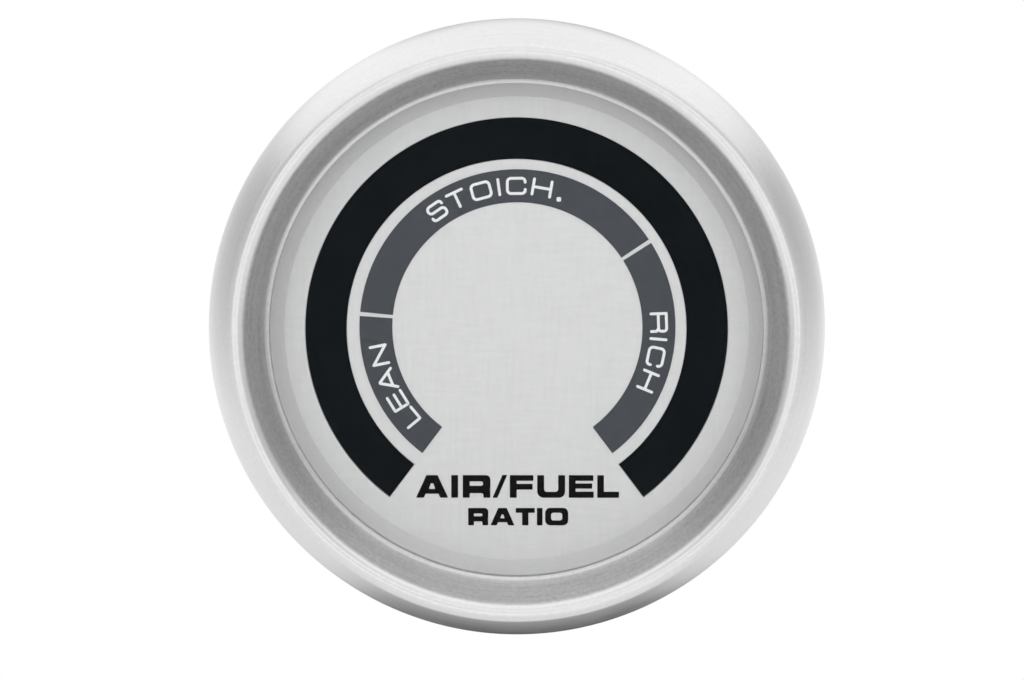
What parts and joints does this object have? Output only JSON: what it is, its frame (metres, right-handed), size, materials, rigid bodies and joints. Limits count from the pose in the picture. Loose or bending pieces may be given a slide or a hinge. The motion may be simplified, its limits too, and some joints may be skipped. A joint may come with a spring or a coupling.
{
  "type": "air fuel ratio gauge",
  "caption": "Round dashboard gauge with a lit arc display behind a silver dial, a spun metal bezel, a plastic barrel case and a strap with knurled nuts that clamps it in a panel hole.",
  "frame": {"origin": "on the gauge's axis, in the plane where the back of the bezel meets the panel's front face", "axes": "the dial looks along -Y, +Y runs along the barrel's axis to the back, +Z points to twelve o'clock and +X to the right of the dial as seen from the front"},
  "size_m": [0.0568, 0.0566, 0.0568],
  "materials": {
    "bezel_metal": "satin, spun",
    "gasket_rubber": "moulded",
    "lens_clear": "clear, polished",
    "spacer_paint": "silver paint",
    "dial_silver": "matt silver, fine grain",
    "band_ink": "printed ink",
    "window_smoke": "smoked, polished",
    "baffle_plastic": "moulded",
    "lamp_red": "tinted resin",
    "lamp_yellow": "tinted resin",
    "lamp_green": "tinted resin",
    "board_green": "solder mask",
    "chip_plastic": "moulded",
    "pin_brass": "plated",
    "spacer_metal": "turned",
    "capacitor_sleeve": "sleeve",
    "resistor_coat": "coated",
    "zinc_steel": "zinc plated",
    "case_plastic": "fine moulded grain",
    "connector_nylon": "moulded",
    "bracket_zinc": "zinc plated",
    "nut_brass": "turned, knurled"
  },
  "bodies": {
    "gauge": {"bezel": "bezel_metal", "lens_gasket": "gasket_rubber", "lens": "lens_clear", "spacer_ring": "spacer_paint", "dial": "dial_silver", "scale_band": "band_ink", "display_window": "window_smoke", "led_baffle": "baffle_plastic", "lean_leds": "lamp_red", "stoich_leds": "lamp_yellow", "rich_leds": "lamp_green", "display_board": "board_green", "board_header": "chip_plastic", "header_pins": "pin_brass", "board_spacers": "spacer_metal", "driver_board": "board_green", "driver_chips": "chip_plastic", "voltage_regulator": "chip_plastic", "filter_capacitor": "capacitor_sleeve", "protection_diode": "chip_plastic", "resistors": "resistor_coat", "board_screws": "zinc_steel", "case": "case_plastic", "case_gasket": "gasket_rubber", "mounting_studs": "zinc_steel", "stud_washers": "zinc_steel", "stud_nuts": "zinc_steel", "connector_shell": "connector_nylon", "connector_pins": "pin_brass"},
    "clamp": {"bracket": "bracket_zinc", "clamp_washers": "zinc_steel"},
    "thumb_nut_left": {"thumb_nut_left": "nut_brass"},
    "thumb_nut_right": {"thumb_nut_right": "nut_brass"}
  },
  "joints": [
    {"name": "clamp_travel", "type": "slide", "parent": "gauge", "child": "clamp", "axis": [0, 1, 0], "range_m": [-0.0052, 0.0033]},
    {"name": "thumb_nut_left_spin", "type": "hinge", "parent": "clamp", "child": "thumb_nut_left", "pos_m": [-0.012, 0.0395, 0], "axis": [0, 1, 0], "range_deg": [-2358, 1497]},
    {"name": "thumb_nut_right_spin", "type": "hinge", "parent": "clamp", "child": "thumb_nut_right", "pos_m": [0.012, 0.0395, 0], "axis": [0, 1, 0], "range_deg": [-2358, 1497]}
  ],
  "couplings": [
    {"joint": "thumb_nut_left_spin", "follows": "clamp_travel", "rad_per_m": 7913.3},
    {"joint": "thumb_nut_right_spin", "follows": "clamp_travel", "rad_per_m": 7913.3}
  ]
}
